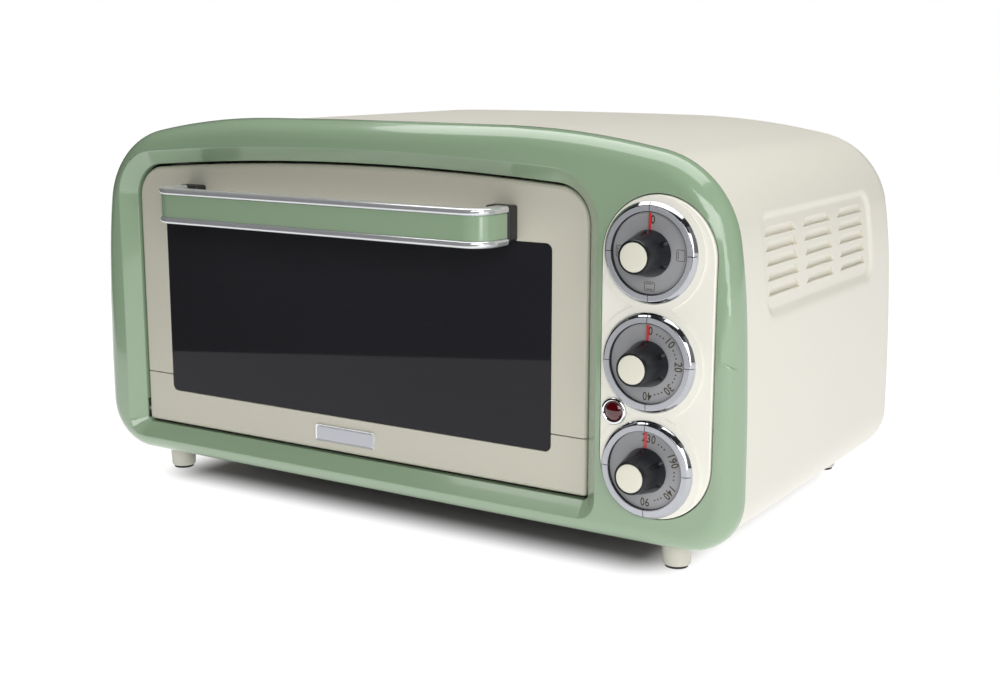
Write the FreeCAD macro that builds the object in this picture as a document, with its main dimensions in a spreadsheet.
"""Countertop toaster oven with a drop-down door, three rotary controls and a pull-out rack.

Millimetres. +X runs to the right as the user faces the door, +Y runs towards the rear and +Z is up.
The origin is on the table, under the centre of the oven's outer box.
"""
import FreeCAD, Part
import math
import os
import re

import Sketcher

V = FreeCAD.Vector

# ---------------------------------------------------------------- driving dimensions

SIZES = {
    # casing outline, seen from the front
    "case_crest": 237.6, "case_floor": 15.2, "heel_radius": 32.0,
    "crown_radius": 8862.0, "crown_turn": 0.558,
    "brow_radius": 486.4, "brow_turn": 11.0,
    "shoulder_radius": 54.4, "shoulder_turn": 69.375,
    "cheek_radius": 397.2, "cheek_turn": 6.244,
    "flank_radius": 1713.0, "flank_turn": 2.823,
    # depths along Y, measured from the front face of the closed door
    "door_plane": -120.2, "bezel_reach": 8.6, "bezel_tail": 5.0, "case_depth": 269.0,
    "bezel_round": 13.0, "bezel_wall": 3.0, "bevel": 8.6, "surround": 12.0,
    "shell_step": 2.0, "shell_wall": 1.5, "rear_round": 32.0, "rear_lip": 42.0, "rear_floor": 30.0,
    # door
    "door_left": -197.1, "door_right": 136.1, "door_foot": 35.2, "door_crest": 211.0,
    "door_crest_offset": -18.7, "door_arch": 1875.0, "door_corner": 20.0, "door_heel": 2.0,
    "door_gap": 1.7, "skin_depth": 12.0, "skin_wall": 1.5, "skin_edge": 2.5, "door_depth": 14.0,
    "seam_height": 68.2, "seam_gap": 0.5,
    "window_left": -174.4, "window_right": 113.8, "window_foot": 57.6, "window_top": 174.5,
    "window_corner": 4.0, "glass_recess": 0.7, "glass_gap": 0.2, "glass_thick": 4.0,
    # hinge
    "hinge_depth": 5.0, "hinge_height": 41.0, "pin_radius": 2.0, "pin_play": 0.05, "ear_thick": 3.0,
    "ear_front": 1.6, "ear_low": 34.5, "ear_high": 13.0,
    # handle
    "grip_left": -153.0, "grip_right": 91.4, "grip_reach": 34.6, "grip_corner": 14.4,
    "grip_thick": 9.0, "rail_lip": 0.9, "rail_foot": 173.0, "rail_high": 4.0,
    "band_foot": 177.0, "band_high": 13.6, "socket_depth": 9.1, "socket_width": 16.0,
    "socket_foot": 174.5, "socket_high": 20.0,
    # name plate
    "plate_centre": -31.0, "plate_height": 46.2, "plate_length": 45.0, "plate_high": 10.5, "plate_thick": 1.2,
    # control column
    "inset_left": 149.8, "inset_right": 214.2, "inset_foot": 33.7, "inset_top": 205.3,
    "inset_reach": 9.5, "inset_thick": 3.0, "inset_gap": 0.6, "collar_radius": 30.5, "collar_high": 0.8,
    "dial_column": 178.4, "function_height": 175.3, "timer_height": 117.6, "thermostat_height": 60.2,
    "ring_base": 26.65, "ring_flat": 24.8, "ring_bore": 21.35, "ring_high": 3.2,
    "dial_radius": 21.3, "dial_thick": 1.0, "knob_base": 12.25, "knob_nose": 9.0, "knob_reach": 30.3,
    "knob_clear": 0.5, "cap_radius": 7.6, "cap_depth": 2.0, "flute_radius": 3.0, "flute_orbit": 13.3,
    "shaft_radius": 3.0, "shaft_play": 0.05, "bush_radius": 5.0, "needle_tip": 20.6, "needle_wide": 1.1,
    "lamp_column": 158.4, "lamp_height": 89.4, "lamp_ring": 7.4, "lamp_lens": 5.4,
    "unit_width": 34.0, "unit_depth": 26.0,
    # oven chamber
    "sheet": 1.0, "frame_front": 15.5, "frame_thick": 1.5,
    "oven_left": -183.0, "oven_right": 122.0, "oven_foot": 47.0, "oven_top": 200.0, "oven_back": 226.0,
    "heater_radius": 3.2, "heater_front": 80.0, "heater_rear": 160.0, "upper_heater_height": 188.0,
    "lower_heater_height": 61.0, "heater_left": -150.0, "heater_right": 134.0,
    "rack_height": 116.7, "rack_left": -178.0, "rack_right": 117.0, "rack_front": 25.0, "rack_rear": 215.0,
    "rack_wire": 2.0, "rung_wire": 1.2, "rung_pitch": 23.0, "rack_corner": 12.0, "runner_wide": 8.0,
    "tray_left": -160.0, "tray_right": 100.0, "tray_front": 34.0, "tray_rear": 206.0, "tray_high": 20.0,
    "tray_flare": 6.0,
    # under the oven
    "foot_top": 8.5, "foot_base": 7.8, "pad_radius": 6.5, "pad_high": 1.5, "foot_column": 184.5,
    "foot_front": 17.0, "foot_rear": 246.0, "base_half": 194.5, "base_front": 9.0, "base_rear": 263.0,
    "base_lap": 10.0,
    "gland_column": 150.0, "gland_height": 52.0, "gland_radius": 8.0, "gland_reach": 6.0,
    "screw_head": 3.2, "screw_high": 1.4,
}

# Side vents: three columns of five slots on each side of the casing.
VENT_COLUMNS = ((43.2, 45.3), (100.0, 44.1), (155.6, 44.4))
VENT_ROWS = (148.7, 156.6, 164.5, 172.4, 180.3)
VENT_HIGH = 4.9

DIALS = {"function": "function_height", "timer": "timer_height", "thermostat": "thermostat_height"}
UNIT_NAMES = {"function": "function_switch", "timer": "timer_unit", "thermostat": "thermostat_unit"}
FLUTES = 6

doc = FreeCAD.newDocument("toaster_oven")
cells = doc.addObject("Spreadsheet::Sheet", "Sizes")
for row, (alias, value) in enumerate(SIZES.items(), start=1):
    cells.set(f"A{row}", alias.replace("_", " "))
    cells.set(f"B{row}", str(value))
    cells.setAlias(f"B{row}", alias)
doc.recompute()

size = {alias: float(cells.get(alias)) for alias in SIZES}
door_plane = size["door_plane"]
nodes = []


# ---------------------------------------------------------------- bound objects

def formula(text):
    """Turn 'door_left + 2' into an expression on the sheet's cells."""
    def cell(word):
        return "Sizes." + word.group() if word.group() in SIZES else word.group()

    return re.sub(r"[a-z_]+", cell, text)


def bind(thing, **formulas):
    for name, text in formulas.items():
        thing.setExpression(name.replace("__", "."), formula(text))


def place(thing, x, y, z):
    """Put an object at x, z and at y behind the closed door's front face."""
    bind(thing, Placement__Base__x=x, Placement__Base__y=f"door_plane + ({y})", Placement__Base__z=z)
    return thing


def box(name, x, y, z, length, width, height):
    thing = doc.addObject("Part::Box", name)
    bind(thing, Length=length, Width=width, Height=height)
    return place(thing, x, y, z)


def span(name, left, right, front, rear, low, high):
    length = f"({right}) - ({left})"
    width = f"({rear}) - ({front})"
    height = f"({high}) - ({low})"
    return box(name, left, front, low, length, width, height)


TURNS = {
    "x": FreeCAD.Rotation(V(0, 1, 0), 90),
    "y": FreeCAD.Rotation(V(1, 0, 0), -90),
    "front": FreeCAD.Rotation(V(1, 0, 0), 90),
    "z": FreeCAD.Rotation(),
}


def rod(name, along, x, y, z, radius, length):
    """A cylinder along x, y, z, or towards the front."""
    thing = doc.addObject("Part::Cylinder", name)
    thing.Placement = FreeCAD.Placement(V(), TURNS[along])
    bind(thing, Radius=radius, Height=length)
    return place(thing, x, y, z)


def cone(name, along, x, y, z, first, second, length):
    thing = doc.addObject("Part::Cone", name)
    thing.Placement = FreeCAD.Placement(V(), TURNS[along])
    bind(thing, Radius1=first, Radius2=second, Height=length)
    return place(thing, x, y, z)


def join(name, *pieces):
    thing = doc.addObject("Part::MultiFuse", name)
    thing.Shapes = list(pieces)
    return thing


def gather(name, *pieces):
    """Separate solids that share one node."""
    thing = doc.addObject("Part::Compound", name)
    thing.Links = list(pieces)
    return thing


def cut(name, base, *tools):
    thing = doc.addObject("Part::Cut", name)
    thing.Base = base
    thing.Tool = tools[0] if len(tools) == 1 else join(name + "_tools", *tools)
    return thing


def feature(name, shape):
    """A piece whose outline is worked out from the sheet's arcs."""
    thing = doc.addObject("Part::Feature", name)
    thing.Shape = shape
    thing.Placement = FreeCAD.Placement(V(0, door_plane, 0), FreeCAD.Rotation())
    return thing


def node(name, thing):
    """Register a finished sub-part under its own name."""
    thing.Label = name
    nodes.append(thing)
    return thing


# ---------------------------------------------------------------- outlines in the XZ plane

def heading(angle):
    return V(math.sin(angle), 0, math.cos(angle))


def arc(centre, radius, start, stop):
    """An arc whose angles run clockwise from straight up, seen from the front."""
    middle = (start + stop) / 2
    points = [centre + heading(angle) * radius for angle in (start, middle, stop)]
    return Part.Arc(*points).toShape()


def line(start, stop):
    return Part.LineSegment(start, stop).toShape()


def flank_edges(inset):
    """The casing's right side from the crown to the end of the flank arc, and that end."""
    edges = []
    point = V(0, 0, size["case_crest"] - inset)
    angle = 0.0
    for part in ("crown", "brow", "shoulder", "cheek", "flank"):
        radius = size[part + "_radius"] - inset
        turn = math.radians(size[part + "_turn"])
        centre = point - heading(angle) * radius
        edges.append(arc(centre, radius, angle, angle + turn))
        angle += turn
        point = centre + heading(angle) * radius
    return edges, point


def case_outline(inset=0.0, heel=None, low=None):
    """The casing outline moved inwards by inset, with heel as its lower corner radius."""
    heel = size["heel_radius"] - inset if heel is None else heel
    edges, side = flank_edges(inset)
    low = size["case_floor"] + inset if low is None else low
    if heel > 0:
        edges.append(line(side, V(side.x, 0, low + heel)))
        edges.append(arc(V(side.x - heel, 0, low + heel), heel, math.pi / 2, math.pi))
    else:
        edges.append(line(side, V(side.x, 0, low)))
    edges.append(line(V(side.x - heel, 0, low), V(0, 0, low)))
    mirrored = [edge.mirror(V(), V(1, 0, 0)) for edge in edges]
    return Part.Wire(Part.__sortEdges__(edges + mirrored))


def rounded_box_outline(left, right, low, high, radius):
    """A rectangle with all four corners rounded; radius may be half its width."""
    quarter = math.pi / 2
    corners = (
        (V(right - radius, 0, high - radius), 0),
        (V(right - radius, 0, low + radius), quarter),
        (V(left + radius, 0, low + radius), 2 * quarter),
        (V(left + radius, 0, high - radius), 3 * quarter),
    )
    edges = [arc(centre, radius, start, start + quarter) for centre, start in corners]
    for first, second in zip(edges, edges[1:] + edges[:1]):
        if first.lastVertex().Point.distanceToPoint(second.firstVertex().Point) > 0.001:
            edges.append(line(first.lastVertex().Point, second.firstVertex().Point))
    return Part.Wire(Part.__sortEdges__(edges))


def door_outline(grow=0.0):
    """The door's outline moved outwards by grow: straight sides under a shallow arch."""
    left = size["door_left"] - grow
    right = size["door_right"] + grow
    low = size["door_foot"] - grow
    radius = size["door_corner"] + grow
    heel = max(size["door_heel"] + grow, 0.5)
    arch = size["door_arch"] + grow
    centre = V(size["door_crest_offset"], 0, size["door_crest"] - size["door_arch"])
    edges = []
    joints = {}
    for side, sign in ((left, -1), (right, 1)):
        corner_x = side - sign * radius
        rise = math.sqrt((arch - radius) ** 2 - (corner_x - centre.x) ** 2)
        corner = V(corner_x, 0, centre.z + rise)
        tilt = math.atan2(corner.x - centre.x, rise)
        edges.append(arc(corner, radius, tilt, sign * math.pi / 2))
        foot = V(side - sign * heel, 0, low + heel)
        edges.append(arc(foot, heel, sign * math.pi / 2, sign * math.pi))
        edges.append(line(V(side, 0, corner.z), V(side, 0, foot.z)))
        joints[sign] = (tilt, foot.x)
    edges.append(arc(centre, arch, joints[-1][0], joints[1][0]))
    edges.append(line(V(joints[-1][1], 0, low), V(joints[1][1], 0, low)))
    return Part.Wire(Part.__sortEdges__(edges))


def prism(wire, front, rear):
    """Extrude an outline from front to rear, both measured behind the door's front face."""
    solid = Part.Face(wire).extrude(V(0, rear - front, 0))
    solid.translate(V(0, front, 0))
    return solid


def edges_at(solid, depth, skip=None):
    """The edges that lie in the plane at one depth."""
    picked = []
    for edge in solid.Edges:
        bounds = edge.BoundBox
        level = abs(bounds.YMin - depth) < 0.001 and abs(bounds.YMax - depth) < 0.001
        if level and not (skip and skip(bounds)):
            picked.append(edge)
    return picked


# ---------------------------------------------------------------- casing

def case_block(inset, front, rear, rounding):
    """The casing's outer or inner volume, its rear edge rounded over the sides and the top."""
    low = size["case_floor"] + inset
    block = prism(case_outline(inset, heel=0), front, rear)
    rim = edges_at(block, rear, skip=lambda bounds: bounds.ZMax < low + 1)
    block = block.makeFillet(rounding, rim)
    half = flank_edges(inset)[1].x
    heel = size["heel_radius"] - inset
    keep = prism(rounded_box_outline(-half, half, low, 2 * size["case_crest"], heel), front, rear)
    return block.common(keep)


def make_outer_shell():
    step = size["shell_step"]
    wall = size["shell_wall"]
    front = size["bezel_tail"] + 0.2
    rear = size["case_depth"]
    outer = case_block(step, front, rear, size["rear_round"])
    inner = case_block(step + wall, front - 1, rear - wall, size["rear_round"] - wall)
    shell = outer.cut(inner)
    mouth = prism(case_outline(size["rear_lip"], heel=6.0, low=size["rear_floor"]), rear - 2 * wall, rear + 1)
    floor_half = size["base_half"] - size["base_lap"]
    floor_length = size["base_rear"] - size["base_front"] - 2 * size["base_lap"]
    floor_mouth = Part.makeBox(2 * floor_half, floor_length, 6,
                               V(-floor_half, size["base_front"] + size["base_lap"], size["case_floor"] - 1))
    shell = shell.cut(mouth).cut(floor_mouth)
    slots = []
    for front_edge, length in VENT_COLUMNS:
        for low in VENT_ROWS:
            for side in (-1, 1):
                slot = Part.makeBox(40, length, VENT_HIGH, V(side * 220 - 20, front_edge, low))
                slots.append(slot)
    return shell.cut(slots)


# The notch in the bezel's rear that clears each hinge ear: width, depth and height.
EAR_NOTCH = (6.0, 12.0, 16.0)


def make_front_bezel():
    front = -size["bezel_reach"]
    tail = size["bezel_tail"]
    wall = size["bezel_wall"]
    outer = prism(case_outline(), front, tail)
    outer = outer.makeFillet(size["bezel_round"], edges_at(outer, front))
    inner = prism(case_outline(wall), front + wall, tail + 1)
    inner = inner.makeFillet(size["bezel_round"] - wall, edges_at(inner, front + wall))
    surround = prism(door_outline(size["surround"]), front, tail).common(outer)
    rim = prism(stadium(size["inset_gap"] + wall), front, tail).common(outer)
    bezel = outer.cut(inner).fuse([surround, rim]).removeSplitter()
    gap = size["door_gap"]
    mouth = prism(door_outline(gap), front - 1, tail + 1)
    bevel = Part.makeLoft([shifted(door_outline(gap + size["bevel"]), front),
                           shifted(door_outline(gap), 0.0)], True, True)
    hole = prism(stadium(size["inset_gap"]), front - 1, tail + 1)
    bezel = bezel.cut([mouth, bevel, hole])
    ears = []
    for edge, sign in ((size["door_left"], -1), (size["door_right"], 1)):
        inner_x = edge + sign * (gap - 0.2)
        near = min(inner_x, inner_x + sign * EAR_NOTCH[0])
        ears.append(Part.makeBox(*EAR_NOTCH, V(near, size["ear_front"] - 0.4, size["ear_low"] - 2)))
    return bezel.cut(ears)


def shifted(wire, depth):
    moved = wire.copy()
    moved.translate(V(0, depth, 0))
    return moved


def stadium(grow=0.0):
    left = size["inset_left"] - grow
    right = size["inset_right"] + grow
    low = size["inset_foot"] - grow
    high = size["inset_top"] + grow
    return rounded_box_outline(left, right, low, high, (right - left) / 2)


def make_control_inset():
    """The cream control panel, with a low collar round each ring and a flat seat for the lamp."""
    front = -size["inset_reach"]
    crest = front - size["collar_high"]
    column = size["dial_column"]
    lamp_column = size["lamp_column"]
    lamp_height = size["lamp_height"]
    toward = V(0, 1, 0)
    plate = prism(stadium(), front, front + size["inset_thick"])
    plate = plate.makeFillet(0.8, edges_at(plate, front))
    trim = prism(stadium(-0.8), front - 2, front + 2)
    lamp_seat = Part.makeCylinder(size["lamp_ring"] + 0.2, 1 + size["collar_high"],
                                  V(lamp_column, crest - 1, lamp_height), toward)
    collars = []
    holes = [Part.makeCylinder(size["lamp_lens"] - 0.4, 20, V(lamp_column, front - 5, lamp_height), toward)]
    for dial_height in DIALS.values():
        height = size[dial_height]
        collar = Part.makeCylinder(size["collar_radius"], 2 * size["collar_high"],
                                   V(column, crest, height), toward)
        collars.append(collar.common(trim).cut(lamp_seat))
        holes.append(Part.makeCylinder(size["bush_radius"] + 0.3, 20, V(column, front - 5, height), toward))
    return plate.fuse(collars).removeSplitter().cut(holes)


def make_front_frame():
    """The pressed steel sheet behind the bezel that carries the chamber and the controls."""
    front = size["frame_front"]
    rear = front + size["frame_thick"]
    sheet = prism(case_outline(size["shell_step"] + size["shell_wall"] + 0.3), front, rear)
    mouth = Part.makeBox(size["oven_right"] - size["oven_left"], 9, size["oven_top"] - size["oven_foot"],
                         V(size["oven_left"], front - 4, size["oven_foot"]))
    column = size["dial_column"]
    holes = [Part.makeCylinder(size["bush_radius"] + 0.3, 9, V(column, front - 4, size[height]), V(0, 1, 0))
             for height in DIALS.values()]
    return sheet.cut([mouth] + holes)


def make_rear_panel():
    rear = size["case_depth"] - size["shell_wall"]
    outline = case_outline(size["rear_lip"] - 4.0, heel=8.0, low=size["rear_floor"] - 4.0)
    plate = prism(outline, rear - size["shell_wall"], rear)
    slots = []
    for row in range(4):
        for column in range(9):
            slots.append(Part.makeBox(24, 8, 3.5, V(-152 + 34 * column, rear - 4, 150 + 10 * row)))
    gland = V(size["gland_column"], rear - 4, size["gland_height"])
    hole = Part.makeCylinder(size["gland_radius"] - 2, 8, gland, V(0, 1, 0))
    return plate.cut(slots + [hole])


# ---------------------------------------------------------------- door

def door_skin():
    """The pressed door skin: a shallow dish with the window cut out."""
    depth = size["skin_depth"]
    wall = size["skin_wall"]
    skin = prism(door_outline(), 0, depth)
    skin = skin.makeFillet(size["skin_edge"], edges_at(skin, 0))
    pocket = prism(door_outline(-wall), wall, depth + 1)
    window = prism(window_outline(), -1, depth)
    return skin.cut([pocket, window])


def window_outline(grow=0.0):
    corner = max(size["window_corner"] + grow, 1.0)
    return rounded_box_outline(size["window_left"] - grow, size["window_right"] + grow,
                               size["window_foot"] - grow, size["window_top"] + grow, corner)


def door_part(above):
    """The part of the skin above or below the level seam."""
    gap = size["seam_gap"] / 2
    seam = size["seam_height"]
    low, high = (seam + gap, 300) if above else (0, seam - gap)
    return door_skin().common(Part.makeBox(600, 60, high - low, V(-300, -20, low)))


def make_inner_frame():
    depth = size["door_depth"]
    behind_glass = size["glass_recess"] + size["glass_thick"] + 0.05
    plate = prism(door_outline(-2.2), size["skin_depth"] + 0.3, depth)
    hopper = prism(window_outline(2.0), behind_glass, depth)
    opening = prism(window_outline(-5.0), 0, depth + 1)
    return plate.fuse(hopper).removeSplitter().cut(opening)


def grip_bar(proud, thick, low, high, edge):
    """The bent handle bar: a straight front between two rounded corners, open towards the door."""
    left = size["grip_left"] - proud
    right = size["grip_right"] + proud
    reach = size["grip_reach"] - size["rail_lip"] + proud
    radius = size["grip_corner"] + proud
    root = size["socket_depth"]
    bar = bent_outline(left, right, reach, radius, root, low)
    hollow = bent_outline(left + thick, right - thick, reach - thick, radius - thick, root - 1, low)
    solid = bar.extrude(V(0, 0, high - low)).cut(hollow.extrude(V(0, 0, high - low)))
    level = [rim for rim in solid.Edges if rim.BoundBox.ZLength < 0.001 and rim.BoundBox.YMax < -root - 0.01
             or rim.BoundBox.ZLength < 0.001 and rim.BoundBox.YLength > 1]
    return solid.makeFillet(edge, level)


def bent_outline(left, right, reach, radius, root, low):
    half = radius * (1 - math.sqrt(0.5))
    points = [V(left, -root, low), V(left, radius - reach, low), V(left + radius, -reach, low),
              V(right - radius, -reach, low), V(right, radius - reach, low), V(right, -root, low)]
    edges = [line(points[0], points[1]),
             Part.Arc(points[1], V(left + half, half - reach, low), points[2]).toShape(),
             line(points[2], points[3]),
             Part.Arc(points[3], V(right - half, half - reach, low), points[4]).toShape(),
             line(points[4], points[5]), line(points[5], points[0])]
    return Part.Face(Part.Wire(edges))


# ---------------------------------------------------------------- turned pieces

def turned(name, x, z, profile):
    """A PartDesign body turned about a line towards the front.

    The profile lists (radius, height in front of the door's front face) as sheet formulas.
    """
    body = doc.addObject("PartDesign::Body", name)
    sketch = body.newObject("Sketcher::SketchObject", name + "_profile")
    plane = next(face for face in body.Origin.OriginFeatures if face.Role == "XY_Plane")
    sketch.AttachmentSupport = (plane, [""])
    sketch.MapMode = "FlatFace"
    count = len(profile)
    guess = []
    for step in range(count):
        turn = math.tau * step / count
        guess.append(V(5 + 10 * math.cos(turn), 40 + 10 * math.sin(turn), 0))
    for step in range(count):
        sketch.addGeometry(Part.LineSegment(guess[step], guess[(step + 1) % count]), False)
    for step in range(count):
        sketch.addConstraint(Sketcher.Constraint("Coincident", step, 2, (step + 1) % count, 1))
    for step, (radius, height) in enumerate(profile):
        if radius == "0":
            sketch.addConstraint(Sketcher.Constraint("PointOnObject", step, 1, -2))
        else:
            index = sketch.addConstraint(Sketcher.Constraint("DistanceX", -1, 1, step, 1, 10.0))
            sketch.setExpression(f"Constraints[{index}]", formula(radius))
        index = sketch.addConstraint(Sketcher.Constraint("DistanceY", -1, 1, step, 1, 10.0))
        sketch.setExpression(f"Constraints[{index}]", formula(height))
    turn = body.newObject("PartDesign::Revolution", name + "_turn")
    turn.Profile = sketch
    turn.ReferenceAxis = (sketch, ["V_Axis"])
    turn.Angle = 360
    body.Placement = FreeCAD.Placement(V(), FreeCAD.Rotation(V(0, 0, 1), 180))
    return place(body, x, "0", z)


# ---------------------------------------------------------------- build: casing and base

node("outer_shell", feature("outer_shell_shape", make_outer_shell()))
node("front_bezel", feature("front_bezel_shape", make_front_bezel()))
node("front_frame", feature("front_frame_shape", make_front_frame()))
node("control_inset", feature("control_inset_shape", make_control_inset()))
node("rear_panel", feature("rear_panel_shape", make_rear_panel()))

base_low = "case_floor + shell_step - shell_wall"
base_sheet = span("base_sheet", "-base_half", "base_half", "base_front", "base_rear",
                  base_low, "case_floor + shell_step")
base_slots = []
for step in range(7):
    base_slots.append(box(f"base_slot_{step}", f"-150 + {step} * 45", "80", "case_floor - 1", "6", "90", "5"))
node("base_plate", cut("base_plate_cut", base_sheet, *base_slots))

feet = []
pads = []
for side, column in (("left", "-foot_column"), ("right", "foot_column")):
    for end in ("front", "rear"):
        depth = f"foot_{end}"
        foot = cone(f"foot_{end}_{side}_cone", "z", column, depth, "pad_high", "foot_base", "foot_top",
                    f"{base_low} - pad_high")
        node(f"foot_{end}_{side}", foot)
        pads.append(rod(f"pad_{end}_{side}", "z", column, depth, "0", "pad_radius", "pad_high"))
node("foot_pads", gather("foot_pads_group", *pads))

gland_bush = rod("gland_bush", "y", "gland_column", "case_depth - shell_wall", "gland_height",
                 "gland_radius", "gland_reach + shell_wall")
gland_neck = rod("gland_neck", "y", "gland_column", "case_depth - 8", "gland_height", "gland_radius - 2.1", "8")
gland_bore = rod("gland_bore", "y", "gland_column", "case_depth - 10", "gland_height", "3.6", "20")
node("cable_gland", cut("cable_gland_cut", join("gland_body", gland_bush, gland_neck), gland_bore))

screws = []
for x, z in (("-176", "130"), ("176", "130"), ("-176", "42"), ("176", "42"), ("-70", "186"), ("70", "186")):
    name = f"rear_screw_{len(screws)}"
    screws.append(rod(name, "y", x, "case_depth - shell_wall", z, "screw_head", "screw_high"))
for x in ("-190", "190"):
    for y in ("60", "180"):
        name = f"base_screw_{len(screws)}"
        screws.append(rod(name, "z", x, y, f"{base_low} - screw_high", "screw_head", "screw_high"))
node("case_screws", gather("case_screws_group", *screws))

# ---------------------------------------------------------------- build: oven chamber

chamber_front = "frame_front + frame_thick"
node("chamber_roof", span("chamber_roof_sheet", "oven_left - sheet", "oven_right + sheet", chamber_front,
                          "oven_back", "oven_top", "oven_top + sheet"))
node("chamber_floor", span("chamber_floor_sheet", "oven_left - sheet", "oven_right + sheet", chamber_front,
                           "oven_back", "oven_foot - sheet", "oven_foot"))
node("chamber_back", span("chamber_back_sheet", "oven_left - sheet", "oven_right + sheet", "oven_back",
                          "oven_back + sheet", "oven_foot - sheet", "oven_top + sheet"))

runner_low = "rack_height - rack_wire - 1.5"
runner_high = "rack_height - rack_wire - 0.5"
left_sheet = span("left_sheet", "oven_left - sheet", "oven_left", chamber_front, "oven_back",
                  "oven_foot", "oven_top")
left_runner = span("left_runner", "oven_left", "oven_left + runner_wide", chamber_front, "oven_back",
                   runner_low, runner_high)
node("chamber_left_wall", join("chamber_left_join", left_sheet, left_runner))

right_sheet = span("right_sheet", "oven_right", "oven_right + sheet", chamber_front, "oven_back",
                   "oven_foot", "oven_top")
right_runner = span("right_runner", "oven_right - runner_wide", "oven_right", chamber_front, "oven_back",
                    runner_low, runner_high)
heater_holes = []
insulators = []
for height in ("upper_heater_height", "lower_heater_height"):
    for depth in ("heater_front", "heater_rear"):
        count = len(insulators)
        heater_holes.append(rod(f"heater_hole_{count}", "x", "oven_right - 1", depth, height,
                                "heater_radius + 0.2", "sheet + 2"))
        sleeve = rod(f"insulator_{count}", "x", "oven_right + sheet", depth, height, "heater_radius + 2.6", "7")
        bore = rod(f"insulator_bore_{count}", "x", "oven_right", depth, height, "heater_radius", "12")
        insulators.append(cut(f"insulator_cut_{count}", sleeve, bore))
right_wall = join("right_wall_join", right_sheet, right_runner)
node("chamber_right_wall", cut("chamber_right_cut", right_wall, *heater_holes))
node("heater_insulators", gather("heater_insulators_group", *insulators))


def make_heater(height):
    """A hairpin heating tube lying across the chamber."""
    front = size["heater_front"]
    rear = size["heater_rear"]
    bend = (rear - front) / 2
    left = size["heater_left"] + bend
    right = size["heater_right"]
    middle = (front + rear) / 2
    path = Part.Wire([
        line(V(right, front, height), V(left, front, height)),
        Part.Arc(V(left, front, height), V(left - bend, middle, height), V(left, rear, height)).toShape(),
        line(V(left, rear, height), V(right, rear, height)),
    ])
    section = Part.Wire(Part.makeCircle(size["heater_radius"], V(right, front, height), V(1, 0, 0)))
    return path.makePipeShell([section], True, True)


node("upper_heater", feature("upper_heater_tube", make_heater(size["upper_heater_height"])))
node("lower_heater", feature("lower_heater_tube", make_heater(size["lower_heater_height"])))

ears = []
for side, edge in (("left", "door_left - door_gap - 0.5"), ("right", "door_right + door_gap + 0.5")):
    near = f"{edge} - ear_thick" if side == "left" else edge
    plate = box(f"ear_plate_{side}", near, "ear_front", "ear_low",
                "ear_thick", "frame_front - ear_front", "ear_high")
    flange_x = f"{edge} - 10" if side == "left" else edge
    flange = box(f"ear_flange_{side}", flange_x, "frame_front - 1.5", "ear_low", "10", "1.5", "ear_high")
    eye = rod(f"ear_eye_{side}", "x", f"{edge} - 8", "hinge_depth", "hinge_height",
              "pin_radius + pin_play", "16")
    ears.append(cut(f"ear_{side}", join(f"ear_body_{side}", plate, flange), eye))
node("hinge_brackets", gather("hinge_brackets_group", *ears))

# ---------------------------------------------------------------- build: controls

for dial, height in DIALS.items():
    face = "inset_reach + collar_high"
    node(f"{dial}_ring", turned(f"{dial}_ring_body", "dial_column", height, (
        ("ring_bore", face), ("ring_base", face), ("ring_flat", f"{face} + ring_high"),
        ("ring_bore", f"{face} + ring_high"))))
    disc = rod(f"{dial}_disc", "front", "dial_column", f"-({face})", height, "dial_radius", "dial_thick")
    bore = rod(f"{dial}_disc_bore", "front", "dial_column", "0", height, "shaft_radius + 0.6", "20")
    node(f"{dial}_dial", cut(f"{dial}_dial_cut", disc, bore))

    knob_root = "inset_reach + collar_high + dial_thick + knob_clear"
    knob_long = f"knob_reach - ({knob_root})"
    tapered = cone(f"{dial}_knob_cone", "front", "dial_column", f"-({knob_root})", height,
                   "knob_base", "knob_nose", knob_long)
    tools = [rod(f"{dial}_knob_bore", "front", "dial_column", "0", height, "shaft_radius", "knob_reach - 5"),
             rod(f"{dial}_cap_seat", "front", "dial_column", "cap_depth - knob_reach", height,
                 "cap_radius", "cap_depth + 1")]
    for flute in range(FLUTES):
        angle = math.tau * flute / FLUTES
        across = f"dial_column + flute_orbit * {math.sin(angle):.5f}"
        upward = f"{height} + flute_orbit * {math.cos(angle):.5f}"
        tools.append(rod(f"{dial}_flute_{flute}", "front", across, f"4 - ({knob_root})", upward,
                         "flute_radius", "30"))
    node(f"{dial}_knob", cut(f"{dial}_knob_cut", tapered, *tools))
    node(f"{dial}_knob_cap", turned(f"{dial}_cap_body", "dial_column", height, (
        ("0", "knob_reach - cap_depth"), ("cap_radius", "knob_reach - cap_depth"),
        ("cap_radius", "knob_reach - 0.3"), ("cap_radius - 0.5", "knob_reach"), ("0", "knob_reach"))))
    node(f"{dial}_pointer", box(f"{dial}_needle", "dial_column - needle_wide / 2", f"-({knob_root}) - 0.5",
                                f"{height} + knob_base", "needle_wide", "0.5", "needle_tip - knob_base"))
    node(f"{dial}_shaft", rod(f"{dial}_spindle", "front", "dial_column", "24", height,
                              "shaft_radius", "24 + knob_reach - 5"))

    unit_front = "frame_front + frame_thick"
    block = box(f"{dial}_unit_block", "dial_column - unit_width / 2", unit_front, f"{height} - unit_width / 2",
                "unit_width", "unit_depth", "unit_width")
    bush = rod(f"{dial}_unit_bush", "front", "dial_column", "20", height, "bush_radius", "24")
    well = rod(f"{dial}_unit_well", "front", "dial_column", "26", height, "shaft_radius + shaft_play", "40")
    node(UNIT_NAMES[dial], cut(f"{dial}_unit_cut", join(f"{dial}_unit_body", block, bush), well))

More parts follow.
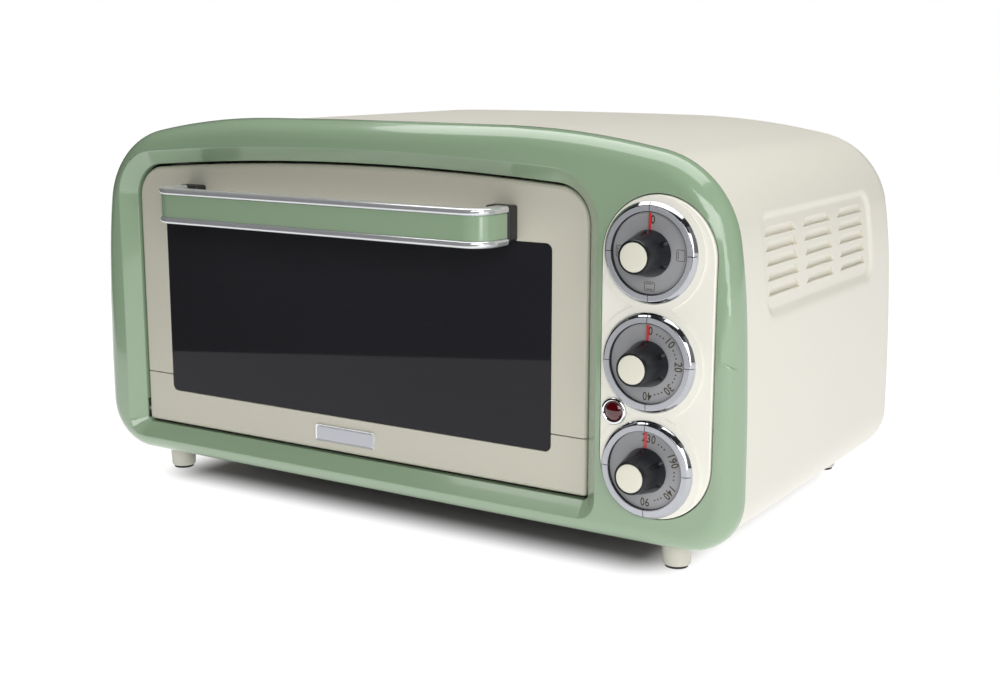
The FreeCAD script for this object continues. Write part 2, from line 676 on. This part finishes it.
node("lamp_ring", turned("lamp_ring_body", "lamp_column", "lamp_height", (
    ("lamp_lens", "inset_reach"), ("lamp_ring", "inset_reach"), ("lamp_ring - 0.8", "inset_reach + 1.8"),
    ("lamp_lens", "inset_reach + 1.8"))))
node("lamp_lens", turned("lamp_lens_body", "lamp_column", "lamp_height", (
    ("0", "inset_reach"), ("lamp_lens", "inset_reach"), ("lamp_lens", "inset_reach + 0.8"),
    ("lamp_lens - 1.5", "inset_reach + 1.3"), ("0", "inset_reach + 1.5"))))
node("lamp_holder", rod("lamp_holder_rod", "front", "lamp_column", "12", "lamp_height",
                        "lamp_lens - 0.6", "12 + inset_reach"))

# ---------------------------------------------------------------- build: door

node("door_skin", feature("door_skin_shape", door_part(above=True)))
node("door_lower_strip", feature("door_lower_strip_shape", door_part(above=False)))
glass_front = size["glass_recess"]
glass = prism(window_outline(-size["glass_gap"]), glass_front, glass_front + size["glass_thick"])
node("door_glass", feature("door_glass_shape", glass))
node("door_inner_frame", feature("door_inner_frame_shape", make_inner_frame()))

pins = []
for side, start in (("left", "door_left - door_gap - ear_thick - 1"), ("right", "door_right")):
    pins.append(rod(f"hinge_pin_{side}", "x", start, "hinge_depth", "hinge_height",
                    "pin_radius", "door_gap + ear_thick + 1"))
node("hinge_pins", gather("hinge_pins_group", *pins))

lip = size["rail_lip"]
band_low = size["band_foot"]
band_high = band_low + size["band_high"]
rail_low = size["rail_foot"]
rail_high = size["rail_high"]
grip_thick = size["grip_thick"]
node("handle_band", feature("handle_band_shape", grip_bar(0.0, grip_thick - lip, band_low, band_high, 0.3)))
lower_rail = grip_bar(lip, grip_thick, rail_low, rail_low + rail_high, 1.6)
upper_rail = grip_bar(lip, grip_thick, band_high, band_high + rail_high, 1.6)
node("handle_rail_lower", feature("handle_rail_lower_shape", lower_rail))
node("handle_rail_upper", feature("handle_rail_upper_shape", upper_rail))
for side, left in (("left", "grip_left - rail_lip"), ("right", "grip_right + rail_lip - socket_width")):
    node(f"handle_bracket_{side}", box(f"socket_{side}", left, "-socket_depth", "socket_foot", "socket_width",
                                       "socket_depth", "socket_high"))
hooks = []
for side, x in (("left", "rack_left + 6"), ("right", "rack_right - 8")):
    hooks.append(span(f"hook_{side}", x, f"{x} + 2", "door_depth", "rack_front - rack_wire - 1.5",
                      "rack_height - 4", "rack_height + 4"))
node("rack_hooks", gather("rack_hooks_group", *hooks))
node("door_badge", box("badge_plate", "plate_centre - plate_length / 2", "-plate_thick",
                       "plate_height - plate_high / 2", "plate_length", "plate_thick", "plate_high"))

# ---------------------------------------------------------------- build: rack and tray


def make_rack():
    """A rectangular wire frame with thin rungs from front to rear."""
    level = size["rack_height"]
    radius = size["rack_wire"]
    corner = size["rack_corner"]
    left = size["rack_left"] + radius
    right = size["rack_right"] - radius
    front = size["rack_front"]
    rear = size["rack_rear"]
    bars = []
    width = right - left - 2 * corner
    depth = rear - front - 2 * corner
    for y in (front, rear):
        bars.append(Part.makeCylinder(radius, width, V(left + corner, y, level), V(1, 0, 0)))
    for x in (left, right):
        bars.append(Part.makeCylinder(radius, depth, V(x, front + corner, level), V(0, 1, 0)))
    middles = ((left + corner, front + corner, 180), (right - corner, front + corner, 270),
               (right - corner, rear - corner, 0), (left + corner, rear - corner, 90))
    for x, y, turn in middles:
        bend = Part.makeTorus(corner, radius, V(), V(0, 0, 1), 0, 360, 90)
        bend.rotate(V(), V(0, 0, 1), turn)
        bend.translate(V(x, y, level))
        bars.append(bend)
    pitch = size["rung_pitch"]
    count = int((right - left - 2 * corner) // pitch)
    start = (left + right - pitch * count) / 2
    for step in range(count + 1):
        foot = V(start + pitch * step, front, level)
        bars.append(Part.makeCylinder(size["rung_wire"], rear - front, foot, V(0, 1, 0)))
    return bars[0].multiFuse(bars[1:])


def tray_ring(inset, level, corner):
    left = size["tray_left"] + inset
    right = size["tray_right"] - inset
    front = size["tray_front"] + inset
    rear = size["tray_rear"] - inset
    corners = [V(left, front, level), V(right, front, level), V(right, rear, level), V(left, rear, level)]
    turn_start = [V(left, front + corner, level), V(right - corner, front, level),
                  V(right, rear - corner, level), V(left + corner, rear, level)]
    turn_end = [V(left + corner, front, level), V(right, front + corner, level),
                V(right - corner, rear, level), V(left, rear - corner, level)]
    edges = []
    for step, sharp in enumerate(corners):
        middle = (turn_start[step] + turn_end[step]) / 2
        crown = sharp + (middle - sharp) * (2 - math.sqrt(2))
        edges.append(Part.Arc(turn_start[step], crown, turn_end[step]).toShape())
        edges.append(line(turn_end[step], turn_start[(step + 1) % 4]))
    return Part.Wire(edges)


def make_tray():
    """A shallow baking tray with flared sides and rounded corners."""
    low = size["rack_height"] + size["rung_wire"] + 0.02
    high = low + size["tray_high"]
    flare = size["tray_flare"]
    outer = Part.makeLoft([tray_ring(flare, low, 12.0), tray_ring(0, high, 16.0)], True, True)
    inner = Part.makeLoft([tray_ring(flare + 1, low + 1, 11.0), tray_ring(1, high + 1, 15.0)], True, True)
    return outer.cut(inner)


node("wire_rack", feature("wire_rack_shape", make_rack()))
node("baking_tray", feature("baking_tray_shape", make_tray()))

# ---------------------------------------------------------------- check and write

doc.recompute()
for thing in doc.Objects:
    if "Invalid" in thing.State or "Error" in thing.State:
        raise SystemExit(f"{thing.Name} did not build: {thing.State}")
for thing in nodes:
    if thing.Shape.isNull() or not thing.Shape.isValid() or not thing.Shape.Solids:
        raise SystemExit(f"{thing.Label} has no valid solid")

os.makedirs("parts", exist_ok=True)
for thing in nodes:
    thing.Shape.exportStep(f"parts/{thing.Label}.step")
whole = Part.makeCompound([thing.Shape for thing in nodes]).BoundBox
print(f"{len(nodes)} nodes, X {whole.XMin:.2f} to {whole.XMax:.2f}, Y {whole.YMin:.2f} to {whole.YMax:.2f}, "
      f"Z {whole.ZMin:.2f} to {whole.ZMax:.2f}")
